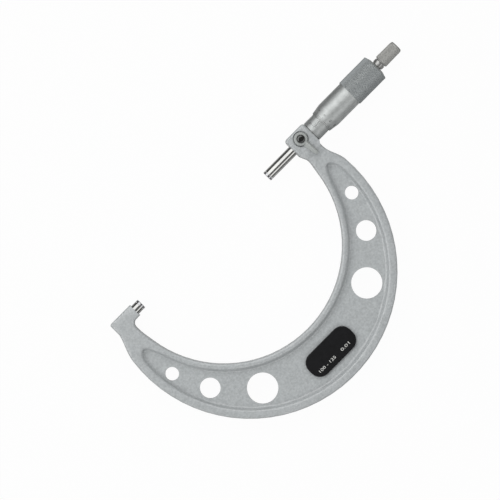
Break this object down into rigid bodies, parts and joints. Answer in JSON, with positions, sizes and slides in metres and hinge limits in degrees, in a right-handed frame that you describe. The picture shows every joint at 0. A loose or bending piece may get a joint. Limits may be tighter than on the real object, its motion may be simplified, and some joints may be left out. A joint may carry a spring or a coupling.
{
  "type": "outside micrometer",
  "caption": "Outside micrometer with a cast C-shaped bow, fixed anvil, sliding spindle, graduated sleeve, thimble, ratchet stop and a lever lock on the front.",
  "frame": {"origin": "centre of the anvil's measuring face", "axes": "+X along the spindle axis from the anvil to the thimble, the bow hangs to -Y, +Z out of the front face that carries the range plate and the lock lever"},
  "size_m": [0.2415, 0.1273, 0.0203],
  "materials": {
    "frame_enamel": "light grey hammer enamel, satin, with a fine mottle",
    "hardened_steel": "ground and polished",
    "carbide": "lapped carbide, grey",
    "turned_steel": "turned, bright",
    "satin_chrome": "satin chrome",
    "plate_black": "black lacquer, semi-gloss",
    "spring_steel": "drawn spring steel",
    "lever_chrome": "grey satin lacquer",
    "screw_black": "blacked, semi-gloss",
    "shoe_brass": "turned brass"
  },
  "bodies": {
    "frame": {"frame": "frame_enamel", "anvil": "hardened_steel", "anvil_tip": "carbide", "inner_sleeve": "turned_steel", "graduated_sleeve": "satin_chrome", "adjusting_nut": "turned_steel", "lever_washer": "turned_steel", "range_plate": "plate_black"},
    "spindle": {"spindle": "hardened_steel", "spindle_tip": "carbide"},
    "thimble": {"thimble": "satin_chrome", "ratchet_screw": "turned_steel", "ratchet_wheel": "turned_steel", "ratchet_spring": "spring_steel"},
    "ratchet_knob": {"ratchet_knob": "satin_chrome", "retaining_ring": "spring_steel"},
    "lock_lever": {"lock_lever": "lever_chrome", "clamp_screw": "turned_steel", "lock_screw": "screw_black"},
    "clamp_shoe": {"clamp_shoe": "shoe_brass"}
  },
  "joints": [
    {"name": "spindle_slide", "type": "slide", "parent": "frame", "child": "spindle", "axis": [1, 0, 0], "range_m": [-0.005, 0.02]},
    {"name": "thimble_turn", "type": "hinge", "parent": "spindle", "child": "thimble", "pos_m": [0.15, 0, 0], "axis": [1, 0, 0], "range_deg": [-3600, 14400]},
    {"name": "ratchet_turn", "type": "hinge", "parent": "thimble", "child": "ratchet_knob", "pos_m": [0.2068, 0, 0], "axis": [1, 0, 0], "continuous": true},
    {"name": "lock_turn", "type": "hinge", "parent": "frame", "child": "lock_lever", "pos_m": [0.1344, 0.0015, 0.008], "axis": [0, 0, 1], "range_deg": [-25, 35]},
    {"name": "shoe_slide", "type": "slide", "parent": "frame", "child": "clamp_shoe", "axis": [0, 0, -1], "range_m": [-0.000087266, 0.00012217]}
  ],
  "couplings": [
    {"joint": "thimble_turn", "follows": "spindle_slide", "rad_per_m": 12566},
    {"joint": "lock_turn", "follows": "shoe_slide", "rad_per_m": 5000}
  ]
}
